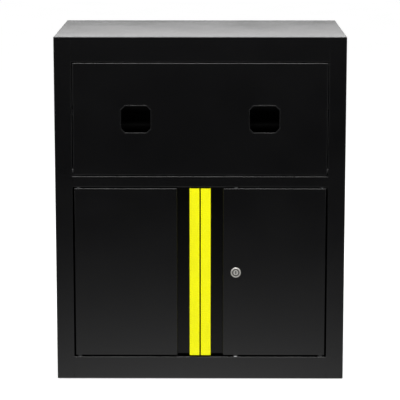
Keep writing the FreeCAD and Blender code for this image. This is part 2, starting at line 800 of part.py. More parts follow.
def lock_point(depth, dx=0.0, dz=0.0):
    """Point on or beside the lock's axis, at a depth behind the front."""
    return Vector(LOCK_X + dx, FRONT + depth, LOCK_Z + dz)


def lock_box(width, height, y0, y1):
    """Block about the lock's axis, between two depths."""
    across = width / 2.0
    up = height / 2.0
    return box(LOCK_X - across, LOCK_X + across, y0, y1, LOCK_Z - up, LOCK_Z + up)


def lock_housing():
    """Bezel and threaded body of the lock, with a sunk ring round the plug."""
    bezel = rod(lock_point(-BEZEL_PROUD), lock_point(0.0), BEZEL_R)
    bezel = rounded(bezel, BEZEL_ROUND, lambda edge: flat_at(edge, "Y", FRONT - BEZEL_PROUD))
    body = rod(lock_point(0.0), lock_point(LOCK_LENGTH), LOCK_BODY_R)
    before = lock_point(-BEZEL_PROUD - OVERRUN)
    bore = rod(before, lock_point(LOCK_LENGTH + OVERRUN), PLUG_R + RUNNING_FIT)
    ring = rod(before, lock_point(RING_DEPTH - BEZEL_PROUD), PLUG_R + PLUG_RING)
    return merge(bezel, body).cut([bore, ring])


def lock_nut():
    """Nut that holds the lock behind the door's face."""
    nut = hexagon("Y", (LOCK_X, LOCK_Z), FRONT + SHEET, FRONT + SHEET + LOCK_NUT_THICK, LOCK_NUT_R)
    return nut.cut(rod(lock_point(0.0), lock_point(LOCK_LENGTH), LOCK_BODY_R))


def lock_plug():
    """Turning plug with a shallow dome for its face, its keyway and the square tail for the cam."""
    width, height, depth = KEYWAY
    front = FRONT - BEZEL_PROUD
    cam_front = FRONT + LOCK_LENGTH + SEAT
    dome_r = (PLUG_R ** 2 + PLUG_DOME ** 2) / (2.0 * PLUG_DOME)
    lean = math.asin(PLUG_R / 2.0 / dome_r)
    part_way = dome_r * (1.0 - math.cos(lean)) - BEZEL_PROUD
    edge = lock_point(PLUG_DOME - BEZEL_PROUD, PLUG_R)
    end = lock_point(LOCK_LENGTH + SEAT, PLUG_R)
    middle = lock_point(LOCK_LENGTH + SEAT)
    tip = lock_point(-BEZEL_PROUD)
    arc = Part.Arc(tip, lock_point(part_way, PLUG_R / 2.0), edge).toShape()
    runs = [Part.LineSegment(*ends).toShape() for ends in ((edge, end), (end, middle), (middle, tip))]
    body = Part.Face(Part.Wire([arc] + runs)).revolve(tip, Vector(0, 1, 0), 360.0)
    tail = lock_box(PLUG_TAIL, PLUG_TAIL, cam_front, cam_front + CAM_THICK)
    keyway = lock_box(width, height, front - OVERRUN, front + depth)
    return merge(body, tail).cut(keyway)


def crank_throw():
    """Radius of the cam's two crank pins, which swing a quarter turn about the level."""
    return ROD_TRAVEL / math.sqrt(2.0)


def rod_plane():
    """Depth of the front of the rods' drive plates."""
    return LOCK_LENGTH + SEAT + CAM_THICK + SEAT


def lock_cam():
    """Cam on the plug's tail: a crank pin for each rod, half a quarter turn away from the level."""
    throw = crank_throw()
    front = FRONT + LOCK_LENGTH + SEAT
    half = throw + CRANK_PIN_R + CAM_END
    cam = box(-half, half, 0.0, CAM_THICK, -CAM_HALF_WIDTH, CAM_HALF_WIDTH)
    cam = rounded(cam, CAM_ROUND, lambda edge: runs_along(edge, "Y"))
    for x in (-throw, throw):
        foot = Vector(x, CAM_THICK / 2.0, 0)
        cam = merge(cam, rod(foot, Vector(x, CAM_THICK + SEAT + ROD_PLATE, 0), CRANK_PIN_R))
    cam.rotate(Vector(0, 0, 0), Vector(0, 1, 0), -90.0 / 2.0)
    cam.translate(Vector(LOCK_X, front, LOCK_Z))
    return cam.cut(lock_box(PLUG_TAIL, PLUG_TAIL, front - OVERRUN, front + CAM_THICK + OVERRUN))


def lock_rod(side):
    """Lock rod: a round bar to the door's top (side 1) or bottom (side -1), with a slotted drive plate."""
    throw = crank_throw()
    near = FRONT + rod_plane()
    far = near + ROD_PLATE
    hand = -side
    inner = LOCK_X + hand * ROD_PLATE_CLEAR
    outer = LOCK_X + hand * (throw + CRANK_PIN_R + ROD_PLATE_EDGE)
    past = LOCK_X - hand * ROD_R
    lug_start = LOCK_Z + side * (ROD_PLATE_END - ROD_LUG)
    plate_end = LOCK_Z + side * ROD_PLATE_END

    def block(xs, y0, y1, zs):
        return box(*sorted(xs), y0, y1, *sorted(zs))

    plate = block((inner, outer), near, far, (LOCK_Z - side * ROD_TRAVEL, plate_end))
    head = block((outer, past), near, far, (LOCK_Z + side * ROD_SHOULDER, plate_end))
    lug = block((LOCK_X - ROD_R, LOCK_X + ROD_R), FRONT + ROD_DEPTH, far, (lug_start, plate_end))
    end = DOOR_TOP + ROD_SHOWN if side > 0 else DOOR_BOTTOM + SEAT
    start = Vector(LOCK_X, FRONT + ROD_DEPTH, lug_start)
    bar = rod(start, Vector(LOCK_X, FRONT + ROD_DEPTH, end), ROD_R)
    bar = rounded(bar, ROD_ROUND, lambda edge: flat_at(edge, "Z", end))
    level = LOCK_Z - side * ROD_TRAVEL / 2.0
    half = CRANK_PIN_R + CRANK_PLAY
    low = LOCK_X + hand * (throw / math.sqrt(2.0) - half)
    high = LOCK_X + hand * (throw + half)
    slot = block((low, high), near - OVERRUN, far + OVERRUN, (level - half, level + half))
    return merge(plate, head, lug, bar).cut(slot)


def rod_tools():
    """Clearance round both lock rods, for the door's flanges."""
    y = FRONT + ROD_DEPTH
    half = Vector(0, 0, 4.0 * SHEET)
    middles = [Vector(LOCK_X, y, z) for z in (DOOR_BOTTOM, DOOR_TOP)]
    return [rod(middle - half, middle + half, ROD_R + SEAT) for middle in middles]


def rod_guides():
    """Two guide blocks on the right door's face, each with a bore for a lock rod."""
    blocks = []
    y = FRONT + ROD_DEPTH
    back = y + ROD_R + ROD_GUIDE_WALL
    across = ROD_GUIDE_WIDTH / 2.0
    up = ROD_GUIDE_HEIGHT / 2.0
    reach = Vector(0, 0, up + OVERRUN)
    for z in (DOOR_BOTTOM + ROD_GUIDE_FROM_END, DOOR_TOP - ROD_GUIDE_FROM_END):
        block = box(LOCK_X - across, LOCK_X + across, FRONT + SHEET, back, z - up, z + up)
        block = rounded(block, BEND, lambda edge: flat_at(edge, "Y", back))
        middle = Vector(LOCK_X, y, z)
        blocks.append(block.cut(rod(middle - reach, middle + reach, ROD_R + RUNNING_FIT)))
    return group(blocks)


def stay_point(angle):
    """Point of the stay's circle about the flap's hinge, at an angle behind upright."""
    lean = math.radians(angle)
    hinge_z = FLAP_BOTTOM + PIVOT_INSET
    return Vector(0, PIVOT_Y + STAY_REACH * math.sin(lean), hinge_z + STAY_REACH * math.cos(lean))


def stay_plane():
    """Inner face of the right ear, which the right stay lies against."""
    return OPENING - FLAP_SIDE_GAP - SHEET


def flap_panel():
    """Front flap: a sheet pan with two outlets, and an ear on each side for the stay."""
    half = OPENING - FLAP_SIDE_GAP
    panel = pan(-half, half, FLAP_BOTTOM, FLAP_TOP)
    pivot = stay_point(STAY_EAR_ANGLE)
    reach = STAY_HALF_WIDTH + STAY_EAR_RIM
    cuts = [outlet_prism(x, TRIM_WALL, FRONT - OVERRUN, PAN_BACK) for x in (-OUTLET_X, OUTLET_X)]
    for side in (-1, 1):
        face = side * half
        inner = side * (half - SHEET)
        stud_end = side * (half - SHEET - STAY_SHEET - SEAT)
        cap_end = stud_end - side * STAY_CAP

        def disc(x0, x1, radius):
            return rod(Vector(x0, pivot.y, pivot.z), Vector(x1, pivot.y, pivot.z), radius)

        tab = box(*sorted((face, inner)), PAN_BACK - SHEET, pivot.y, pivot.z - reach, pivot.z + reach)
        panel = merge(
            panel,
            tab,
            disc(face, inner, reach),
            disc(face, stud_end, STAY_STUD_R),
            disc(stud_end, cap_end, STAY_STUD_R + STAY_CAP_RIM),
        )
        hinge = Vector(face, PIVOT_Y, FLAP_BOTTOM + PIVOT_INSET)
        reach_in = Vector(side * 3.0 * SHEET, 0, 0)
        cuts.append(rod(hinge + Vector(side * OVERRUN, 0, 0), hinge - reach_in, PIN_R))
    return panel.cut(cuts)


def flap_pins():
    """Pins of the flap."""
    half = OPENING - FLAP_SIDE_GAP
    pins = []
    for side in (-1, 1):
        edge = Vector(side * half, PIVOT_Y, FLAP_BOTTOM + PIVOT_INSET)
        pins.append(pin(edge, Vector(-side, 0, 0), FLAP_SIDE_GAP + 2 * SHEET))
    return group(pins)


def outlet_trim(x):
    """Moulded edge trim of an outlet: front flange, sleeve and a snap lip behind the sheet."""
    face = FRONT - TRIM_PROUD
    flange = outlet_prism(x, TRIM_WALL + TRIM_FLANGE, face, FRONT)
    flange = rounded(flange, TRIM_PROUD * 0.55, lambda edge: flat_at(edge, "Y", face))
    sleeve = outlet_prism(x, TRIM_WALL, FRONT, FRONT + SHEET)
    lip = outlet_prism(x, TRIM_WALL + TRIM_LIP, FRONT + SHEET, FRONT + SHEET + TRIM_LIP_LENGTH)
    ring = merge(flange, sleeve, lip).cut(outlet_prism(x, 0.0, face - OVERRUN, PAN_BACK))

    def of_mouth(edge):
        across = abs(edge.CenterOfMass.x - x) - OUTLET_WIDTH / 2.0
        up = abs(edge.CenterOfMass.z - OUTLET_Z) - OUTLET_HEIGHT / 2.0
        return flat_at(edge, "Y", face) and across < 0.01 and up < 0.01

    return rounded(ring, TRIM_WALL * 0.6, of_mouth)


def flap_stay():
    """Right stay: a slotted bar, pinned to the flap's ear, that runs on the stud of the carcass."""
    ear = stay_point(STAY_EAR_ANGLE)
    stud = stay_point(STAY_STUD_ANGLE)
    closed = (stud - ear).Length
    opened = 2.0 * STAY_REACH * math.sin(math.radians((90.0 + STAY_STUD_ANGLE - STAY_EAR_ANGLE) / 2.0))
    x1 = stay_plane() - SEAT
    x0 = x1 - STAY_SHEET + SEAT
    reach = STAY_HALF_WIDTH

    def slab(start, end, radius):
        bar = box(x0, x1, start, end, -radius, radius)
        ends = [rod(Vector(x0, y, 0), Vector(x1, y, 0), radius) for y in (start, end)]
        return merge(bar, *ends)

    bar = slab(0.0, opened + reach / 2.0, reach)
    slot = slab(closed, opened, STAY_STUD_R + SEAT)
    hole = rod(Vector(x0 - OVERRUN, 0, 0), Vector(x1 + OVERRUN, 0, 0), STAY_STUD_R + RUNNING_FIT)
    stay = bar.cut([slot, hole])
    direction = math.degrees(math.atan2(stud.z - ear.z, stud.y - ear.y))
    stay.rotate(Vector(0, 0, 0), Vector(1, 0, 0), direction)
    stay.translate(Vector(0, ear.y, ear.z))
    return stay


def stay_studs():
    """Shouldered studs on the side panels that the stays run on."""
    stud = stay_point(STAY_STUD_ANGLE)
    solids = []
    for side in (-1, 1):
        wall = side * (SIDE - SHEET)
        shoulder = side * (stay_plane() + SEAT)
        tip = side * (stay_plane() - STAY_SHEET - SEAT)
        steps = [
            (wall, wall - side * STUD_PLATE, STUD_PLATE_RIM),
            (wall, shoulder, STUD_RIM),
            (shoulder, tip, 0.0),
            (tip, tip - side * STAY_CAP, STUD_RIM),
        ]
        discs = [
            rod(Vector(x0, stud.y, stud.z), Vector(x1, stud.y, stud.z), STAY_STUD_R + rim)
            for x0, x1, rim in steps
        ]
        solids.append(merge(*discs))
    return group(solids)


def axle_point(x, dy=0.0, dz=0.0):
    """Point on or beside the reels' axle line."""
    return Vector(x, axle_y() + dy, axle_z() + dz)


def ratchet_root():
    """Radius at the bottom of the ratchet's teeth, on the spring case."""
    return CASE_R + 1.0


def pawl_pivot():
    """Middle of the pawl's pin, ahead of and below the ratchet's lowest tooth."""
    slope = math.radians(PAWL_SLOPE)
    tip_z = -ratchet_root() - PAWL_TIP_GAP
    return -PAWL_TIP_GAP - PAWL_REACH * math.cos(slope), tip_z - PAWL_REACH * math.sin(slope)


def reel_frame(centre):
    """Reel's stand: a base plate with two arms, and the pin of the pawl on the spring side's arm."""
    inlet, spring = arm_planes()
    x0 = centre + inlet - ARM_SHEET
    x3 = centre + spring + ARM_SHEET
    y = axle_y()
    half = FRAME_LENGTH / 2.0
    floor = REEL_FLOOR
    shoulder = floor + ARM_FOOT_HEIGHT
    stand = box(x0, x3, y - half, y + half, floor, floor + ARM_SHEET)
    outline = [
        (y - half, floor),
        (y + half, floor),
        (y + half, shoulder),
        (y + ARM_HEAD_R, axle_z()),
        (y - ARM_HEAD_R, axle_z()),
        (y - half, shoulder),
    ]
    window = [
        (y - ARM_WINDOW / 2.0, shoulder),
        (y + ARM_WINDOW / 2.0, shoulder),
        (y, axle_z() - ARM_HEAD_R - ARM_WINDOW_MARGIN),
    ]
    for near in (x0, x3 - ARM_SHEET):
        far = near + ARM_SHEET
        arm = merge(prism(outline, "X", near, far), rod(axle_point(near), axle_point(far), ARM_HEAD_R))
        stand = merge(stand, arm.cut(prism(window, "X", near - OVERRUN, far + OVERRUN)))
    dy, dz = pawl_pivot()
    inner = centre + spring
    pawl_face = inner - ARM_GAP + SEAT
    pawl_back = inner - ARM_GAP - RATCHET_WIDTH - SEAT

    def disc(start, end, radius):
        return rod(axle_point(start, dy, dz), axle_point(end, dy, dz), radius)

    stand = merge(
        stand,
        disc(inner + ARM_SHEET, pawl_back, PAWL_PIN_R),
        disc(inner, pawl_face, PAWL_PIN_R + PAWL_PIN_SHOULDER),
        disc(pawl_back, pawl_back - PAWL_PIN_CAP, PAWL_PIN_R + PAWL_PIN_CAP_RIM),
    )
    bore = rod(axle_point(x0 - OVERRUN), axle_point(x3 + OVERRUN), AXLE_R)
    return stand.cut(bolt_tools(bolt_places(centre)) + [bore])


def bolt_places(centre):
    """Middles of the four bolts that hold a reel's base."""
    inlet, spring = arm_planes()
    reach = FRAME_LENGTH / 2.0 - BOLT_INSET
    xs = (centre + inlet + BOLT_INSET, centre + spring - BOLT_INSET)
    return [(x, y) for x in xs for y in (axle_y() - reach, axle_y() + reach)]


def bolt_tools(places):
    """Bolt holes through the reels' floor and what stands on it."""
    reach = 3.0 * ARM_SHEET
    return [
        rod(Vector(x, y, REEL_FLOOR - reach), Vector(x, y, REEL_FLOOR + reach), BOLT_R)
        for x, y in places
    ]


def reel_axle(centre):
    """Fixed hollow axle, with a head outside the spring side's arm."""
    inlet, spring = arm_planes()
    start = centre + inlet - ARM_SHEET - NUT_THICK
    end = centre + spring + ARM_SHEET
    shaft = rod(axle_point(start), axle_point(end), AXLE_R)
    head = hexagon("X", (axle_y(), axle_z()), end, end + NUT_THICK, NUT_R)
    bore = rod(axle_point(start - OVERRUN), axle_point(centre + DRUM_WIDTH / 3.0), AXLE_BORE_R)
    return merge(shaft, head).cut(bore)


def reel_fasteners():
    """Base bolts of both reels and their guides, and the nuts of both axles."""
    solids = []
    under = REEL_FLOOR - SHEET
    for centre in (-OUTLET_X, OUTLET_X):
        for places, seat in ((bolt_places(centre), ARM_SHEET), (guide_bolt_places(centre), GUIDE_SHEET)):
            for x, y in places:
                top = REEL_FLOOR + seat
                shank = rod(Vector(x, y, under - BOLT_NUT - BOLT_END), Vector(x, y, top), BOLT_R)
                head = hexagon("Z", (x, y), top, top + BOLT_HEAD, BOLT_HEAD_R)
                nut = hexagon("Z", (x, y), under - BOLT_NUT, under, BOLT_HEAD_R)
                solids.append(merge(shank, head, nut))
        inlet = centre + arm_planes()[0] - ARM_SHEET
        nut = hexagon("X", (axle_y(), axle_z()), inlet - NUT_THICK + ENTRY_MARGIN, inlet, NUT_R)
        solids.append(nut.cut(rod(axle_point(inlet - NUT_THICK), axle_point(inlet + OVERRUN), AXLE_R)))
    return group(solids)


def inlet_elbow(centre):
    """Inlet elbow on the end of the axle, with its port facing the back."""
    face = centre + arm_planes()[0] - ARM_SHEET - NUT_THICK
    x = entry_places()[0 if centre < 0 else 1]
    middle = axle_point(x)
    hub = rod(axle_point(face), middle, ELBOW_R)
    knee = Part.makeSphere(ELBOW_R, middle)
    port = rod(middle, middle + Vector(0, ELBOW_REACH, 0), ELBOW_R)
    end = axle_y() + ELBOW_REACH
    nut = hexagon("Y", (x, axle_z()), end - PORT_DEPTH, end, ELBOW_NUT_R)
    bore = rod(axle_point(face + OVERRUN), middle, AXLE_BORE_R)
    mouth = middle + Vector(0, ELBOW_REACH + OVERRUN, 0)
    way = rod(middle, mouth, AXLE_BORE_R)
    thread = rod(middle + Vector(0, ELBOW_REACH - PORT_DEPTH, 0), mouth, PORT_R)
    return merge(hub, knee, port, nut).cut([bore, way, thread])


def reel_drum(centre):
    """Drum: core, two flanges with rolled rims, a hub on the axle and the port for a hose on the core."""
    half = DRUM_WIDTH / 2.0
    outer = half + DRUM_SHEET
    hub_r = AXLE_R + HUB_WALL
    core = tube(axle_point(centre - half), axle_point(centre + half), DRUM_CORE_R, DRUM_CORE_R - DRUM_SHEET)
    hub = rod(axle_point(centre - outer), axle_point(centre + outer), hub_r)
    discs = []
    rim_r = DRUM_FLANGE_R - DRUM_BEAD_R
    for x0, x1 in ((centre - outer, centre - half), (centre + half, centre + outer)):
        disc = rod(axle_point(x0), axle_point(x1), rim_r)
        rim = Part.makeTorus(rim_r, DRUM_BEAD_R, axle_point((x0 + x1) / 2.0), Vector(1, 0, 0))
        discs.append(merge(disc, rim))
    lean = math.radians(DRUM_PORT_ANGLE)
    outwards = Vector(0, math.cos(lean), math.sin(lean))
    foot = axle_point(centre + DRUM_WIDTH / 4.0) + outwards * (DRUM_CORE_R - DRUM_PORT_FOOT)
    tip = foot + outwards * DRUM_PORT_LENGTH
    port = rod(foot, tip, DRUM_PORT_R)
    port_bore = rod(foot - outwards * DRUM_PORT_FOOT, tip + outwards * OVERRUN, DRUM_PORT_BORE_R)
    start = centre - outer - OVERRUN
    middle_r = (DRUM_CORE_R + DRUM_FLANGE_R) / 2.0
    holes = []
    for i in range(DRUM_HOLES):
        a = 2.0 * math.pi * (i + 0.5) / DRUM_HOLES
        near = axle_point(start, middle_r * math.cos(a), middle_r * math.sin(a))
        holes.append(rod(near, near + Vector(DRUM_SHEET + 2.0 * OVERRUN, 0, 0), DRUM_HOLE_R))
    bore = rod(axle_point(start), axle_point(centre + outer + OVERRUN), AXLE_R + RUNNING_FIT)
    return merge(core, hub, discs[0], discs[1], port).cut([port_bore, bore] + holes)


def spring_case(centre):
    """Case of the power spring on the drum's flange, with the ratchet's teeth round its rim."""
    inner = centre + DRUM_WIDTH / 2.0 + DRUM_SHEET
    outer = inner + CASE_WIDTH
    root = ratchet_root()
    cup = rod(axle_point(inner), axle_point(outer), CASE_R)
    teeth = []
    for i in range(RATCHET_TEETH):
        a = math.radians(270.0 + i * 360.0 / RATCHET_TEETH)
        for radius in (root, root + RATCHET_HEIGHT):
            teeth.append((axle_y() + radius * math.cos(a), axle_z() + radius * math.sin(a)))
    ratchet = prism(teeth, "X", outer - RATCHET_WIDTH, outer)
    hollow = rod(axle_point(inner - OVERRUN), axle_point(outer - DRUM_SHEET), CASE_R - DRUM_SHEET)
    hub = rod(axle_point(outer - 3.0 * DRUM_SHEET), axle_point(outer), AXLE_R + HUB_WALL)
    bore = rod(axle_point(inner - OVERRUN), axle_point(outer + OVERRUN), AXLE_R + RUNNING_FIT)
    return merge(merge(cup, ratchet).cut(hollow), hub).cut(bore)


def spiral_side(offset, inner, pitch, halves):
    """Points of the half-turn arcs of a two-centre spiral, moved outwards by an offset."""
    arcs = []
    radius = inner
    centre = 0.0
    side = 1.0
    for _ in range(halves):
        r = radius + offset
        arcs.append([(centre + side * r, 0.0), (centre, side * r), (centre - side * r, 0.0)])
        centre += side * pitch / 2.0
        radius += pitch / 2.0
        side = -side
    return arcs


def power_spring(centre):
    """Flat spiral spring in its case: half-turn arcs from two middles, hooked to the case outside."""
    inner = centre + DRUM_WIDTH / 2.0 + DRUM_SHEET
    x0 = inner + SPRING_CLEAR
    x1 = inner + CASE_WIDTH - 4.0 * DRUM_SHEET
    room = CASE_R - DRUM_SHEET - SPRING_INNER_R - SPRING_ROOM
    pitch = room / SPRING_TURNS
    halves = 2 * SPRING_TURNS
    inner_side = spiral_side(-SPRING_STRIP / 2.0, SPRING_INNER_R, pitch, halves)
    outer_side = spiral_side(SPRING_STRIP / 2.0, SPRING_INNER_R, pitch, halves)
    edges = []

    def at(point):
        return axle_point(x0, point[0], point[1])

    for arc in inner_side + outer_side:
        edges.append(Part.Arc(at(arc[0]), at(arc[1]), at(arc[2])).toShape())
    edges.append(Part.LineSegment(at(inner_side[0][0]), at(outer_side[0][0])).toShape())
    edges.append(Part.LineSegment(at(inner_side[-1][2]), at(outer_side[-1][2])).toShape())
    face = Part.Face(Part.Wire(Part.__sortEdges__(edges)))
    strip = face.extrude(Vector(x1 - x0, 0, 0))
    end = outer_side[-1][2][0]
    wall = math.copysign(CASE_R - DRUM_SHEET - RUNNING_FIT, end)
    y0, y1 = sorted((end - math.copysign(SPRING_STRIP / 2.0, end), wall))
    half = SPRING_HOOK / 2.0
    hook = box(x0, x1, axle_y() + y0, axle_y() + y1, axle_z() - half, axle_z() + half)
    return merge(strip, hook)


def pawl(centre):
    """Pawl, drawn clear of the ratchet: it lifts into the lowest tooth gap."""
    outer = centre + DRUM_WIDTH / 2.0 + DRUM_SHEET + CASE_WIDTH
    x0 = outer - RATCHET_WIDTH
    dy, dz = pawl_pivot()
    tip = (-PAWL_TIP_GAP, -ratchet_root() - PAWL_TIP_GAP)
    outline = [
        tip,
        (tip[0], tip[1] - RATCHET_HEIGHT),
        (dy + PAWL_PIN_R, dz - PAWL_PIN_R - PAWL_PIN_SHOULDER),
        (dy, dz + PAWL_PIN_R / 2.0),
        (tip[0] - 2.0 * RATCHET_HEIGHT, tip[1] - 0.7 * RATCHET_HEIGHT),
    ]
    blade = prism([(axle_y() + u, axle_z() + v) for u, v in outline], "X", x0, outer)
    boss = rod(axle_point(x0, dy, dz), axle_point(outer, dy, dz), PAWL_PIN_R + PAWL_BOSS_WALL)
    bore = rod(axle_point(x0, dy, dz), axle_point(outer, dy, dz), PAWL_PIN_R + RUNNING_FIT)
    lever = merge(blade, boss).cut(bore)
    lever.rotate(axle_point(x0, dy, dz), Vector(1, 0, 0), -PAWL_LIFT)
    return lever


def guide_place(centre, dz=0.0):
    """Middle of a reel's roller guide, which lies behind its outlet."""
    return Vector(centre, FRONT + GUIDE_SETBACK, OUTLET_Z + dz)


def guide_bolt_places(centre):
    """Middles of the two bolts that hold a guide's foot."""
    y = FRONT + GUIDE_SETBACK + GUIDE_CHEEK / 2.0 + GUIDE_BOLT_REACH
    reach = GUIDE_BOLT_SPACING / 2.0
    return [(centre - reach, y), (centre + reach, y)]


def hose_guide(centre):
    """Guide: a foot on the shelf, a channel post, and a fork of two cheeks with the rollers' pins."""
    y = FRONT + GUIDE_SETBACK
    half_y = GUIDE_CHEEK / 2.0
    y0 = y - half_y
    y1 = y + half_y
    inner = ROLLER_LENGTH / 2.0 + ROLLER_GAP
    outer = inner + GUIDE_SHEET
    roller = ROLLER_OPENING / 2.0 + ROLLER_R
    low = OUTLET_Z - roller - ROLLER_R - GUIDE_BELOW
    high = OUTLET_Z + roller + ROLLER_R + GUIDE_ABOVE
    post = GUIDE_POST / 2.0
    reach = GUIDE_FOOT / 2.0
    foot_top = REEL_FLOOR + GUIDE_SHEET
    foot = box(centre - reach, centre + reach, y0, y1 + GUIDE_FOOT_REACH, REEL_FLOOR, foot_top)
    web = box(centre - post, centre + post, y1 - GUIDE_SHEET, y1, REEL_FLOOR, low)
    ribs = [
        box(x, x + GUIDE_SHEET, y0, y1, REEL_FLOOR, low)
        for x in (centre - post, centre + post - GUIDE_SHEET)
    ]
    saddle = box(centre - outer, centre + outer, y0, y1, low - GUIDE_SHEET, low)
    solid = merge(foot, web, saddle, *ribs)

    def top_corner(edge):
        return runs_along(edge, "X") and flat_at(edge, "Z", high)

    for side in (-1, 1):
        x0, x1 = sorted((centre + side * inner, centre + side * outer))
        cheek = box(x0, x1, y0, y1, low - GUIDE_SHEET, high)
        cheek = rounded(cheek, GUIDE_CHEEK_ROUND, top_corner)
        solid = merge(solid, cheek)
    pin_reach = Vector(outer + ROLLER_PIN_END, 0, 0)
    middles = [guide_place(centre, dz) for dz in (-roller, roller)]
    pins = [rod(middle - pin_reach, middle + pin_reach, ROLLER_PIN_R) for middle in middles]
    return merge(solid, *pins).cut(bolt_tools(guide_bolt_places(centre)))


def guide_roller(centre, side):
    """Roller above (side 1) or below (side -1) the way of the hose."""
    middle = guide_place(centre, side * (ROLLER_OPENING / 2.0 + ROLLER_R))
    reach = Vector(ROLLER_LENGTH / 2.0, 0, 0)
    start = middle - reach
    end = middle + reach

    def end_edge(edge):
        return flat_at(edge, "X", start.x) or flat_at(edge, "X", end.x)

    body = rounded(rod(start, end, ROLLER_R), ROLLER_ROUND, end_edge)
    past = Vector(OVERRUN, 0, 0)
    return body.cut(rod(start - past, end + past, ROLLER_PIN_R + RUNNING_FIT))


def reel_shelf():
    """Tray that the reels and guides stand on, with the holes of their bolts."""
    places = []
    for centre in (-OUTLET_X, OUTLET_X):
        places += bolt_places(centre) + guide_bolt_places(centre)
    return floor_tray(REEL_FLOOR, REEL_TRAY_EDGE).cut(bolt_tools(places))


def lock_door(door):
    """Right door with the holes of its lock and of the lock's rods."""
    lock_hole = rod(lock_point(-OVERRUN), lock_point(LOCK_LENGTH), LOCK_BODY_R)
    return door.cut([lock_hole] + rod_tools())


def build():
    """Every node of the cabinet by name."""
    right_side = side_panel()
    uprights = [upright(y) for y in upright_places()]
    clips = [shelf_clip(y) for y in upright_places()]
    door = door_panel()
    post = door_stiffener()
    strip = handle_strip()
    pins = door_pins()
    stay = flap_stay()
    nodes = {
        "left_side_panel": mirrored(right_side),
        "right_side_panel": right_side,
        "top_panel": top_panel(),
        "middle_rail": rail(MIDDLE_BOTTOM, MIDDLE_TOP, rail_holes(MIDDLE_BOTTOM)),
        "bottom_rail": rail(FOOT_GAP, BOTTOM_RAIL, rail_holes(BOTTOM_RAIL)),
        "back_panel": back_panel(),
        "bottom_panel": floor_tray(BOTTOM_RAIL - SHEET, CUPBOARD_TRAY_EDGE),
        "reel_shelf": reel_shelf(),
        "shelf_uprights": group(uprights + [mirrored(piece) for piece in uprights]),
        "shelf_clips": group(clips + [mirrored(piece) for piece in clips]),
        "adjustable_shelf": adjustable_shelf(),
        "corner_feet": feet(),
        "pivot_bushes": pivot_bushes(),
        "magnetic_catches": catches(),
        "stay_studs": stay_studs(),
        "supply_grommets": grommets(),
        "reel_fasteners": reel_fasteners(),
        "left_door_panel": mirrored(door),
        "left_door_stiffener": mirrored(post),
        "left_handle_strip": mirrored(strip),
        "left_door_pins": mirrored(pins),
        "right_door_panel": lock_door(door),
        "right_door_stiffener": post,
        "right_handle_strip": strip,
        "right_door_pins": pins,
        "lock_housing": lock_housing(),
        "lock_nut": lock_nut(),
        "rod_guides": rod_guides(),
        "lock_plug": lock_plug(),
        "lock_cam": lock_cam(),
        "upper_lock_rod": lock_rod(1),
        "lower_lock_rod": lock_rod(-1),
        "flap_panel": flap_panel(),
        "flap_pins": flap_pins(),
        "left_outlet_trim": outlet_trim(-OUTLET_X),
        "right_outlet_trim": outlet_trim(OUTLET_X),
        "right_flap_stay": stay,
        "left_flap_stay": mirrored(stay),
    }
    for name, centre in (("left", -OUTLET_X), ("right", OUTLET_X)):
        nodes[name + "_reel_frame"] = reel_frame(centre)
        nodes[name + "_reel_axle"] = reel_axle(centre)
        nodes[name + "_inlet_elbow"] = inlet_elbow(centre)
        nodes[name + "_reel_drum"] = reel_drum(centre)
        nodes[name + "_spring_case"] = spring_case(centre)
        nodes[name + "_power_spring"] = power_spring(centre)
        nodes[name + "_pawl"] = pawl(centre)
        nodes[name + "_hose_guide"] = hose_guide(centre)
        nodes[name + "_upper_roller"] = guide_roller(centre, 1)
        nodes[name + "_lower_roller"] = guide_roller(centre, -1)
    return nodes


def main():
    os.makedirs("parts", exist_ok=True)
    for name, shape in build().items():
        volume = shape.Volume / 1000.0
        print(f"{name:22s} solids {len(shape.Solids):2d} valid {shape.isValid()} volume {volume:9.2f} cm3")
        shape.exportStep(os.path.join("parts", name + ".step"))


main()
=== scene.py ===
"""Looks of a folded-steel workshop cabinet with two hose reels behind its upper flap."""
import json
import math

import bpy
import numpy as np
from mathutils import Euler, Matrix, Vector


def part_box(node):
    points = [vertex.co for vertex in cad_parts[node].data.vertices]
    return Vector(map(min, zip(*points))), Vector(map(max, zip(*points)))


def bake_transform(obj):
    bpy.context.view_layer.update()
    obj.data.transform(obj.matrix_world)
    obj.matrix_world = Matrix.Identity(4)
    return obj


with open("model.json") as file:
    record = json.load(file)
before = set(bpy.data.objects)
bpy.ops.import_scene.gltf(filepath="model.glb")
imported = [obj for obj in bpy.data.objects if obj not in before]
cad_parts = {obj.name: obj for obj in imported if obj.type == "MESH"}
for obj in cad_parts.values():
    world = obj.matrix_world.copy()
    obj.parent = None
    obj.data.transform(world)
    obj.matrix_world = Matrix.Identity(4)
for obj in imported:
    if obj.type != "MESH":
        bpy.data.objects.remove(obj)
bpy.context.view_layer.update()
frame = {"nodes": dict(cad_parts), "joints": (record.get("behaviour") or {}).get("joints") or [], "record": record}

MM = 0.001
NODES = frame["nodes"]
WHITE = (1.0, 1.0, 1.0, 1.0)
EVEN = (1.0, 1.0, 1.0)

# Cabinet's powder coat: the two blacks and the two roughnesses that its clouds run between
CABINET_COLOURS = ("#050506", "#070708")
CABINET_GLOSS = (0.18, 0.21)

# Noise values that a cloud's colour and its gloss run between, since a noise seldom goes past them
COLOUR_CLOUD = (0.35, 0.68)
GLOSS_CLOUD = (0.3, 0.7)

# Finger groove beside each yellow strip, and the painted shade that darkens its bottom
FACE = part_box("right_handle_strip")[0][1]    # front of doors and strips
GROOVE_WIDTH = 30.0 * MM
GROOVE_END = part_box("right_handle_strip")[1][0] + GROOVE_WIDTH
GROOVE_RIM = 1.0 * MM                        # the painted shade fades this far to each side of the groove's end
GROOVE_SHADE_DEPTHS = (4.0 * MM, 14.0 * MM)           # behind the front, where the painted shade starts and where it is full
GROOVE_SHADE_METALLIC = 0.5                             # painted shade: metallic share over the black base that darkens the groove's bottom
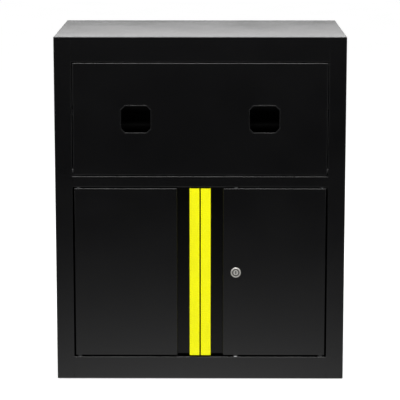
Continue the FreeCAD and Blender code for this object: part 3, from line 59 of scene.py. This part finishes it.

# Spot welds in the middle of the side panels' back flanges
FLANGE_WIDTH = 25.0 * MM
WELD_SPACING = 70.0 * MM
WELD_MIDDLE = 2.0 * MM                       # radius of the flat bottom
WELD_RIM = 3.2 * MM                          # radius of the whole mark
WELD_DEPTH = 0.3 * MM
WELD_FADES = (1.0 * MM, 3.0 * MM)            # ahead of the flange's back, so that only it is marked

# Lock's turned face, and the painted shade in its sunk places
RING_PITCH = 0.5 * MM
RING_HEIGHT = 0.004 * MM
SUNK_RING = 0.95 * MM                        # middle of the sunk ring, from the plug's edge
SUNK_RING_HALF = 1.2 * MM
KEYWAY_HALF = 0.95 * MM
SUNK_SHADE_EDGE = 0.2 * MM
SUNK_SHADE_DEPTHS = (0.55 * MM, 1.1 * MM)          # behind the bezel's front, where the painted shade starts and where it is darkest
# colour of the painted shade in the sunk ring and keyway
SUNK_SHADE_COLOUR = "#0C0B0A"

# Pawl springs
WIRE_R = 0.4 * MM
WIRE_SIDES = 12
COIL_R = 7.7 * MM
COIL_POINTS = 100
SPRING_TURNS = 2.75
BEND_R = 1.2 * MM
BEND_POINTS = 8
HOOK_POINTS = 5
SPRING_GAP = 0.2 * MM                        # from the wire to the pawl, and to the reel's arm
PAWL_TO_ARM = 4.0 * MM
LEG_ANGLE = -93.9                            # degrees about the pin, where the pawl's leg leaves the coil
ARM_LEG = (13.0 * MM, 2.6 * MM)              # straight run and hook
PAWL_LEG = (24.0 * MM, 7.1 * MM)

# World: its plain strength, and what gloss sees of it
WORLD_LIGHT = 0.5
HORIZON_DIM = 0.05
HORIZON = (0.20, 0.45)                       # sines of the angles above level where it turns bright

# Studio floor, in metres
FLOOR_HALF = 30.0
FLOOR_GLOW = 0.65
NEAR_GLOW = 1.1                              # to gloss, at the cabinet
NEAR_REACH = 0.9
FAR_RISE = 0.0012                            # to gloss, times the distance squared
FAR_GLOW = 0.15

# Camera: focal length in pixels of the 400-pixel frame, place in metres, turns in degrees
FOCAL_PX = 1935.0
FRAME_PX = 400.0
EYE_AHEAD = 4.6
EYE_ASIDE = 0.027
EYE_HEIGHT = 1.2795
LOOK_DOWN = 10.25
LOOK_ASIDE = 0.34


def linear(hex_code):
    """Linear colour of an sRGB hex value."""
    shares = [int(hex_code[start:start + 2], 16) / 255.0 for start in (1, 3, 5)]
    return [s / 12.92 if s <= 0.04045 else ((s + 0.055) / 1.055) ** 2.4 for s in shares] + [1.0]


def add(tree, kind, settings=None, **sockets):
    """Add a shader node with its settings, and set or link each input, called by its name or its number."""
    node = tree.nodes.new("ShaderNode" + kind)
    for key, value in (settings or {}).items():
        setattr(node, key, value)
    for key, value in sockets.items():
        index = key.lstrip("_")
        socket = node.inputs[int(index)] if index.isdigit() else node.inputs[key.replace("_", " ")]
        if isinstance(value, bpy.types.Node):
            value = next(output for output in value.outputs if output.enabled)
        if isinstance(value, bpy.types.NodeSocket):
            tree.links.new(value, socket)
        else:
            socket.default_value = value
    return node


class Finish:
    """One surface finish: cloudy colour and gloss, and a fine grain that stands up from the surface."""

    def __init__(self, name, colours, cloud_mm, gloss, grain_mm, relief_mm, stretch=EVEN, **shader):
        """Colours are two hex values and gloss two roughnesses that clouds about cloud_mm across blend
        between. The grain is about grain_mm across, relief_mm high, and drawn out where its stretch is small.
        What else is given is set on the shader."""
        self.material = bpy.data.materials.new(name)
        self.material.use_nodes = True
        self.tree = self.material.node_tree
        self.shader = self.tree.nodes["Principled BSDF"]
        for socket, value in shader.items():
            self.shader.inputs[socket.replace("_", " ")].default_value = value
        self.place = add(self.tree, "TexCoord").outputs["Object"]
        cloud = add(self.tree, "TexNoise", Vector=self.place, Scale=1.0 / (cloud_mm * MM), Detail=3.0)
        low, high = COLOUR_CLOUD
        share = add(self.tree, "MapRange", _0=cloud, _1=low, _2=high)
        first, second = (linear(colour) for colour in colours)
        self.colour = add(self.tree, "Mix", {"data_type": "RGBA"}, _0=share, _6=first, _7=second).outputs[2]
        low, high = GLOSS_CLOUD
        rough = add(self.tree, "MapRange", _0=cloud, _1=low, _2=high, _3=gloss[0], _4=gloss[1])
        along = add(self.tree, "Mapping", Vector=self.place, Scale=stretch)
        grain = add(self.tree, "TexNoise", Vector=along, Scale=1.0 / (grain_mm * MM), Detail=2.0)
        relief = add(self.tree, "Bump", Height=grain, Distance=relief_mm * MM, Strength=0.5)
        self.normal = relief.outputs["Normal"]
        self.feed("Base Color", self.colour)
        self.feed("Roughness", rough.outputs[0])
        self.feed("Normal", self.normal)

    def feed(self, socket, output):
        """Drive one input of the shader."""
        self.tree.links.new(output, self.shader.inputs[socket])


def powder_coat(name, colours, gloss):
    """Polyester powder coat, sprayed and baked on sheet steel: satin, with a fine orange peel 2 mm across
    that softens what it reflects. Hands and cloths leave parts of it a shade duller."""
    return Finish(name, colours, cloud_mm=90.0, gloss=gloss, grain_mm=2.2, relief_mm=0.003, IOR=1.5)


def door_coat_with_groove_shade():
    """The cabinet's coat on a door, with painted shade in the bottom of the finger groove: there it is made partly
    metallic over its black base, so it gives back less light than the face does."""
    coat = powder_coat("black_powder_coat_on_door_with_painted_groove_shade", CABINET_COLOURS, CABINET_GLOSS)
    sides = add(coat.tree, "SeparateXYZ", _0=coat.place)
    across = add(coat.tree, "Math", {"operation": "ABSOLUTE"}, _0=sides.outputs["X"])
    inside = add(coat.tree, "MapRange", _0=across, _1=GROOVE_END + GROOVE_RIM, _2=GROOVE_END - GROOVE_RIM)
    starts, stops = (FACE + depth for depth in GROOVE_SHADE_DEPTHS)
    deep = add(coat.tree, "MapRange", _0=sides.outputs["Y"], _1=starts, _2=stops)
    # Painted shade: the groove's bottom turns partly metallic over the black base, which darkens it.
    groove_shade = add(coat.tree, "Math", {"operation": "MULTIPLY"}, _0=inside, _1=deep)
    groove_shade_metal = add(coat.tree, "Math", {"operation": "MULTIPLY"}, _0=groove_shade, _1=GROOVE_SHADE_METALLIC)
    coat.feed("Metallic", groove_shade_metal.outputs[0])
    return coat.material


def coated_side():
    """The cabinet's coat on a side panel. A row of spot welds, 70 mm apart, holds the back panel to the
    middle of the 25 mm back flange, and shows there as shallow round dimples 6 mm wide."""
    coat = powder_coat("black_powder_coat_on_side", CABINET_COLOURS, CABINET_GLOSS)
    edge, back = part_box("right_side_panel")[1][:2]
    sides = add(coat.tree, "SeparateXYZ", _0=coat.place)
    across = add(coat.tree, "Math", {"operation": "ABSOLUTE"}, _0=sides.outputs["X"])
    aside = add(coat.tree, "Math", {"operation": "SUBTRACT"}, _0=across, _1=edge - FLANGE_WIDTH / 2.0)
    along = add(coat.tree, "Math", {"operation": "PINGPONG"}, _0=sides.outputs["Z"], _1=WELD_SPACING / 2.0)
    spot = add(coat.tree, "CombineXYZ", _0=aside, _1=along)
    radius = add(coat.tree, "VectorMath", {"operation": "LENGTH"}, _0=spot).outputs["Value"]
    rim = add(coat.tree, "MapRange", _0=radius, _1=WELD_MIDDLE, _2=WELD_RIM)
    starts, stops = (back - depth for depth in WELD_FADES)
    ahead = add(coat.tree, "MapRange", _0=sides.outputs["Y"], _1=starts, _2=stops)
    level = add(coat.tree, "Math", {"operation": "MAXIMUM"}, _0=rim, _1=ahead)
    dimple = add(coat.tree, "Bump", Height=level, Distance=WELD_DEPTH, Normal=coat.normal)
    coat.feed("Normal", dimple.outputs["Normal"])
    return coat.material


def extruded_lemon():
    """Lemon yellow PVC profile, drawn through a die: an even soft gloss with faint lines along its length,
    0.8 mm apart."""
    return Finish("extruded_lemon_pvc", ("#EBE900", "#E6E300"), cloud_mm=40.0, gloss=(0.24, 0.32),
                  grain_mm=0.8, relief_mm=0.008, stretch=(1.0, 1.0, 0.01), IOR=1.5,
                  Specular_IOR_Level=0.15).material


def zinc_plate():
    """Bright zinc plate with a clear blue passivation: grey metal, faintly cloudy, with the small marks of
    the tumbling barrel."""
    return Finish("zinc_plated_steel", ("#A9ADB3", "#C3C5C4"), cloud_mm=9.0, gloss=(0.26, 0.40),
                  grain_mm=0.7, relief_mm=0.006, Metallic=1.0).material


def nickel_plate():
    """Bright nickel over a turned zinc casting: warm silver, softly brushed, with the lathe's rings 0.5 mm
    apart, coarser than real ones so that they show. The sunk ring round the plug and the keyway are painted
    dark and less metallic: painted shade in the sunk places."""
    plate = Finish("bright_nickel_plate", ("#F2EFEA", "#E4E1DB"), cloud_mm=3.0, gloss=(0.40, 0.48),
                   grain_mm=0.4, relief_mm=0.002)
    plug_low, plug_high = (np.array(corner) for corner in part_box("lock_plug"))
    middle = (plug_low + plug_high) / 2.0
    middle[1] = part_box("lock_housing")[0][1]
    plug_r = (plug_high[0] - plug_low[0]) / 2.0
    centred = add(plate.tree, "Mapping", Vector=plate.place, Location=tuple(-middle))
    flat = add(plate.tree, "VectorMath", {"operation": "MULTIPLY"}, _0=centred, _1=(1.0, 0.0, 1.0))
    radius = add(plate.tree, "VectorMath", {"operation": "LENGTH"}, _0=flat).outputs["Value"]

    turns = add(plate.tree, "Math", {"operation": "MULTIPLY"}, _0=radius, _1=2.0 * math.pi / RING_PITCH)
    rings = add(plate.tree, "Math", {"operation": "SINE"}, _0=turns)
    turned = add(plate.tree, "Bump", Height=rings, Distance=RING_HEIGHT, Strength=0.35, Normal=plate.normal)

    from_ring = add(plate.tree, "Math", {"operation": "SUBTRACT"}, _0=radius, _1=plug_r + SUNK_RING)
    ring_off = add(plate.tree, "Math", {"operation": "ABSOLUTE"}, _0=from_ring)
    in_ring = add(plate.tree, "MapRange", _0=ring_off, _1=SUNK_RING_HALF + SUNK_SHADE_EDGE, _2=SUNK_RING_HALF)
    sides = add(plate.tree, "SeparateXYZ", _0=centred)
    key_off = add(plate.tree, "Math", {"operation": "ABSOLUTE"}, _0=sides.outputs["X"])
    in_key = add(plate.tree, "MapRange", _0=key_off, _1=KEYWAY_HALF + SUNK_SHADE_EDGE, _2=KEYWAY_HALF)
    on_plug = add(plate.tree, "MapRange", _0=radius, _1=plug_r, _2=plug_r - SUNK_SHADE_EDGE)
    in_slot = add(plate.tree, "Math", {"operation": "MINIMUM"}, _0=in_key, _1=on_plug)
    sunk = add(plate.tree, "Math", {"operation": "MAXIMUM"}, _0=in_ring, _1=in_slot)
    deep = add(plate.tree, "MapRange", _0=sides.outputs["Y"], _1=SUNK_SHADE_DEPTHS[0], _2=SUNK_SHADE_DEPTHS[1])
    # Painted shade: the sunk ring and keyway turn dark and lose their metal, most towards the back.
    sunk_shade = add(plate.tree, "Math", {"operation": "MULTIPLY"}, _0=sunk, _1=deep)
    colour = add(plate.tree, "Mix", {"data_type": "RGBA"}, _0=sunk_shade, _6=plate.colour, _7=linear(SUNK_SHADE_COLOUR))
    metal = add(plate.tree, "Math", {"operation": "SUBTRACT"}, _0=1.0, _1=sunk_shade)

    plate.feed("Base Color", colour.outputs[2])
    plate.feed("Metallic", metal.outputs[0])
    plate.feed("Normal", turned.outputs["Normal"])
    return plate.material


def moulded_plastic(name, colours, gloss):
    """Black ABS from a spark-eroded mould: an even fine grain, 0.9 mm across, that dulls the gloss."""
    return Finish(name, colours, cloud_mm=15.0, gloss=gloss, grain_mm=0.9, relief_mm=0.02, IOR=1.53).material


def matt_nylon():
    """Oil-filled black nylon of the guide rollers, turned and never polished: nearly no gloss."""
    return Finish("oil_filled_black_nylon", ("#050505", "#080808"), cloud_mm=6.0, gloss=(0.55, 0.7),
                  grain_mm=0.7, relief_mm=0.01, stretch=(1.0, 4.0, 4.0), IOR=1.53,
                  Specular_IOR_Level=0.1).material


def rubber():
    """Moulded EPDM rubber: matt, with a faint grey bloom."""
    return Finish("moulded_epdm_rubber", ("#161616", "#2A2A29"), cloud_mm=8.0, gloss=(0.66, 0.82),
                  grain_mm=1.0, relief_mm=0.02, IOR=1.52).material


def brass():
    """Turned brass fitting: yellow metal, a little brown where it is touched, with turning lines."""
    return Finish("turned_brass", ("#D0AC62", "#9C7A3E"), cloud_mm=7.0, gloss=(0.24, 0.42),
                  grain_mm=0.6, relief_mm=0.008, stretch=(4.0, 1.0, 1.0), Metallic=1.0).material


def blued_strip():
    """Hardened and blued spring steel: dark blue-grey, with a fine rolled grain."""
    return Finish("blued_spring_steel", ("#3A4152", "#5B5F68"), cloud_mm=12.0, gloss=(0.28, 0.40),
                  grain_mm=1.0, relief_mm=0.003, Metallic=1.0).material


# Finish of each material slot of the record
BY_SLOT = {
    "black_powder_coat": powder_coat("black_powder_coat", CABINET_COLOURS, CABINET_GLOSS).material,
    "black_frame_coat": powder_coat("charcoal_stove_enamel", ("#2C2D30", "#383A3D"), (0.30, 0.36)).material,
    "yellow_profile": extruded_lemon(),
    "zinc_steel": zinc_plate(),
    "bright_nickel": nickel_plate(),
    "black_plastic": moulded_plastic("moulded_black_abs", ("#0E0E0F", "#161617"), (0.43, 0.54)),
    "black_rubber": rubber(),
    "brass": brass(),
    "spring_steel": blued_strip(),
}

# Nodes that need a finish of their own, by the end of their names
BY_NAME = {
    "door_panel": door_coat_with_groove_shade(),
    "side_panel": coated_side(),
    "outlet_trim": moulded_plastic("moulded_black_trim", ("#040405", "#060607"), (0.20, 0.31)),
    "_roller": matt_nylon(),
    "hose_guide": powder_coat("matt_black_powder_coat", ("#08080A", "#0C0C0D"), (0.49, 0.52)).material,
}


def dress_nodes():
    """Give every CAD node the finish of its record slot, or its own."""
    for part in frame["record"]["subparts"]:
        finish = BY_SLOT[part["material_slot"]]
        for ending, own in BY_NAME.items():
            if part["node"].endswith(ending):
                finish = own
        for slot in NODES[part["node"]].material_slots:
            slot.material = finish


def wire(name, middle, outward, radius):
    """Round wire along a path: its skin is the path's middle plus radius (n cos b + m sin b), where b goes
    once round, n is the given outward direction and m is square to n and to the path. Flat faces close its
    two ends."""
    run = np.gradient(middle, axis=0)
    run = run / np.linalg.norm(run, axis=1, keepdims=True)
    across = np.cross(run, outward)
    turn = np.linspace(0.0, 2.0 * np.pi, WIRE_SIDES, endpoint=False)[None, :, None]
    ring = np.cos(turn) * outward[:, None] + np.sin(turn) * across[:, None]
    skin = middle[:, None] + radius * ring
    ids = np.arange(len(middle) * WIRE_SIDES).reshape(len(middle), WIRE_SIDES)
    beside = np.roll(ids, -1, axis=1)
    quads = np.stack([ids[:-1], beside[:-1], beside[1:], ids[1:]], axis=-1).reshape(-1, 4)
    ends = [ids[0][::-1].tolist(), ids[-1].tolist()]
    mesh = bpy.data.meshes.new(name)
    mesh.from_pydata(skin.reshape(-1, 3).tolist(), [], quads.tolist() + ends)
    mesh.shade_smooth()
    piece = bpy.data.objects.new(name, mesh)
    bpy.context.collection.objects.link(piece)
    return piece


def spring_leg(start, run, hook, straight, hook_length):
    """Leg of a spring from the end of its coil: straight along run, through a quarter circle of radius c
    whose points are the run's end + c (run sin a + hook (1 - cos a)), then along hook. Both lengths are
    measured to the corner that the bend rounds."""
    along = np.linspace(0.0, straight - BEND_R, BEND_POINTS)[1:, None] * run
    turn = np.linspace(0.0, np.pi / 2.0, BEND_POINTS)[1:, None]
    bend = along[-1] + BEND_R * (np.sin(turn) * run + (1.0 - np.cos(turn)) * hook)
    end = bend[-1] + np.linspace(0.0, hook_length - BEND_R, HOOK_POINTS)[1:, None] * hook
    return start + np.concatenate([along, bend, end])


def pawl_spring(side):
    """Torsion spring that presses a pawl into its ratchet: 2.75 turns of 0.8 mm wire round the shoulder of
    the pawl's pin. The coil is a helix, y = r cos a, z = r sin a, with x falling evenly as a grows. One leg
    hooks into the reel's arm and the other crosses under the pawl, so the coil twists with the pawl."""
    joint = next(row for row in frame["joints"] if row["name"] == side + "_pawl_lift")
    pin = np.array([0.0, *joint["pos_m"][1:]])
    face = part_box(side + "_pawl")[1][0]
    by_arm = face + PAWL_TO_ARM - SPRING_GAP - WIRE_R
    by_pawl = face + SPRING_GAP + WIRE_R
    last = math.radians(LEG_ANGLE)
    turn = np.linspace(last - 2.0 * np.pi * SPRING_TURNS, last, COIL_POINTS)
    outward = np.stack([turn * 0.0, np.cos(turn), np.sin(turn)], axis=1)
    coil = pin + COIL_R * outward
    coil[:, 0] = np.linspace(by_arm, by_pawl, len(turn))
    way = np.stack([turn * 0.0, -np.sin(turn), np.cos(turn)], axis=1)
    to_arm = np.array([1.0, 0.0, 0.0])
    arm_leg = spring_leg(coil[0], -way[0], to_arm, *ARM_LEG)
    pawl_leg = spring_leg(coil[-1], way[-1], -to_arm, *PAWL_LEG)
    middle = np.concatenate([arm_leg[::-1], coil, pawl_leg])
    arm_out = np.repeat(outward[:1], len(arm_leg), axis=0)
    pawl_out = np.repeat(outward[-1:], len(pawl_leg), axis=0)
    piece = wire(side + "_pawl_spring", middle, np.concatenate([arm_out, outward, pawl_out]), WIRE_R)
    piece.data.materials.append(BY_SLOT["spring_steel"])
    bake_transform(piece)


def studio_floor():
    """Flat white floor that looks white to the camera and keeps the cabinet's shadow. To gloss it is bright
    close to the cabinet, dim further off and paler again at the far end, as a lit sweep in a studio is:
    strength = 1.1 exp(-distance / 0.9 m) + 0.0012 distance^2, the last at most 0.15."""
    mesh = bpy.data.meshes.new("studio_floor")
    corners = [(x * FLOOR_HALF, y * FLOOR_HALF, 0.0) for x, y in ((-1, -1), (1, -1), (1, 1), (-1, 1))]
    mesh.from_pydata(corners, [], [(0, 1, 2, 3)])
    floor = bpy.data.objects.new("studio_floor", mesh)
    bpy.context.collection.objects.link(floor)
    paper = Finish("white_studio_paper", ("#DADADA", "#D7D7D7"), cloud_mm=400.0, gloss=(0.88, 0.92),
                   grain_mm=3.0, relief_mm=0.01, Specular_IOR_Level=0.0, Emission_Color=WHITE,
                   Emission_Strength=FLOOR_GLOW)
    path = add(paper.tree, "LightPath").outputs
    distance = add(paper.tree, "VectorMath", {"operation": "LENGTH"}, _0=paper.place).outputs["Value"]
    fall = add(paper.tree, "Math", {"operation": "MULTIPLY"}, _0=distance, _1=-1.0 / NEAR_REACH)
    near = add(paper.tree, "Math", {"operation": "EXPONENT"}, _0=fall)
    square = add(paper.tree, "Math", {"operation": "POWER"}, _0=distance, _1=2.0)
    rise = add(paper.tree, "Math", {"operation": "MULTIPLY"}, _0=square, _1=FAR_RISE)
    far = add(paper.tree, "Math", {"operation": "MINIMUM"}, _0=rise, _1=FAR_GLOW)
    strength = add(paper.tree, "Math", {"operation": "MULTIPLY_ADD"}, _0=near, _1=NEAR_GLOW, _2=far)
    glow = add(paper.tree, "Emission", Color=WHITE, Strength=strength)
    mixed = add(paper.tree, "MixShader", _0=path["Is Glossy Ray"], _1=paper.shader.outputs[0], _2=glow)
    paper.tree.links.new(mixed.outputs[0], paper.tree.nodes["Material Output"].inputs["Surface"])
    mesh.materials.append(paper.material)


def surroundings():
    """World: white to the camera, plain even light on everything, and for gloss a pale sky over a dim
    horizon."""
    world = bpy.data.worlds.new("studio")
    bpy.context.scene.world = world
    world.use_nodes = True
    tree = world.node_tree
    tree.nodes.clear()
    up = add(tree, "SeparateXYZ", _0=add(tree, "TexCoord").outputs["Generated"]).outputs["Z"]
    smooth = {"interpolation_type": "SMOOTHSTEP"}
    sky = add(tree, "MapRange", smooth, _0=up, _1=HORIZON[0], _2=HORIZON[1], _3=HORIZON_DIM, _4=1.0)
    path = add(tree, "LightPath").outputs
    plain = add(tree, "Background", _0=WHITE, _1=WORLD_LIGHT)
    gloss = add(tree, "Background", _0=WHITE, _1=sky)
    white = add(tree, "Background", _0=WHITE, _1=1.0)
    lit = add(tree, "MixShader", _0=path["Is Glossy Ray"], _1=plain, _2=gloss)
    through = path["Is Transmission Ray"]
    clear = add(tree, "Math", {"operation": "MAXIMUM"}, _0=path["Is Camera Ray"], _1=through)
    seen = add(tree, "MixShader", _0=clear, _1=lit, _2=white)
    add(tree, "OutputWorld", _0=seen).is_active_output = True


def softbox(name, place, aim, size, power):
    """Area lamp at a place, turned towards a point, with its width level."""
    lamp = bpy.data.lights.new(name, "AREA")
    lamp.shape = "RECTANGLE"
    lamp.size, lamp.size_y = size
    lamp.energy = power
    box = bpy.data.objects.new(name, lamp)
    bpy.context.collection.objects.link(box)
    run = np.array(aim) - np.array(place)
    level = math.hypot(run[0], run[1])
    box.location = place
    box.rotation_euler = Euler((math.atan2(level, -run[2]), 0.0, math.atan2(-run[0], run[1])))


def camera():
    """Camera ahead of the cabinet and above its top, looking down a little."""
    lens = bpy.data.cameras.new("camera")
    lens.sensor_fit = "HORIZONTAL"
    lens.lens = lens.sensor_width * FOCAL_PX / FRAME_PX
    lens.clip_end = 100.0
    eye = bpy.data.objects.new("camera", lens)
    bpy.context.collection.objects.link(eye)
    eye.location = (EYE_ASIDE, FACE - EYE_AHEAD, EYE_HEIGHT)
    eye.rotation_euler = Euler((math.radians(90.0 - LOOK_DOWN), 0.0, math.radians(LOOK_ASIDE)))
    bpy.context.scene.camera = eye


bpy.context.scene.view_settings.view_transform = "Standard"
camera()
surroundings()
studio_floor()
softbox("overhead", place=(0.0, -0.7, 3.0), aim=(0.0, -0.2, 0.4), size=(1.4, 0.6), power=40.0)
softbox("key", place=(-1.6, -2.6, 3.0), aim=(0.0, 0.0, 0.45), size=(2.2, 2.2), power=13.0)
softbox("fill", place=(2.2, -2.0, 2.4), aim=(0.0, 0.0, 0.45), size=(2.0, 2.0), power=9.0)
softbox("back", place=(0.3, 2.6, 2.6), aim=(0.0, 0.0, 0.6), size=(2.0, 2.0), power=20.0)
softbox("low_back_strip", place=(0.0, 1.7, 1.2), aim=(0.0, -0.2, 0.842), size=(2.4, 0.25), power=4.3)
for hand in (-1.0, 1.0):
    softbox("side_strip", place=(hand * 2.4, -1.4, 0.9), aim=(0.0, -0.23, 0.5), size=(0.4, 1.8), power=7.0)
dress_nodes()
for side in ("left", "right"):
    pawl_spring(side)
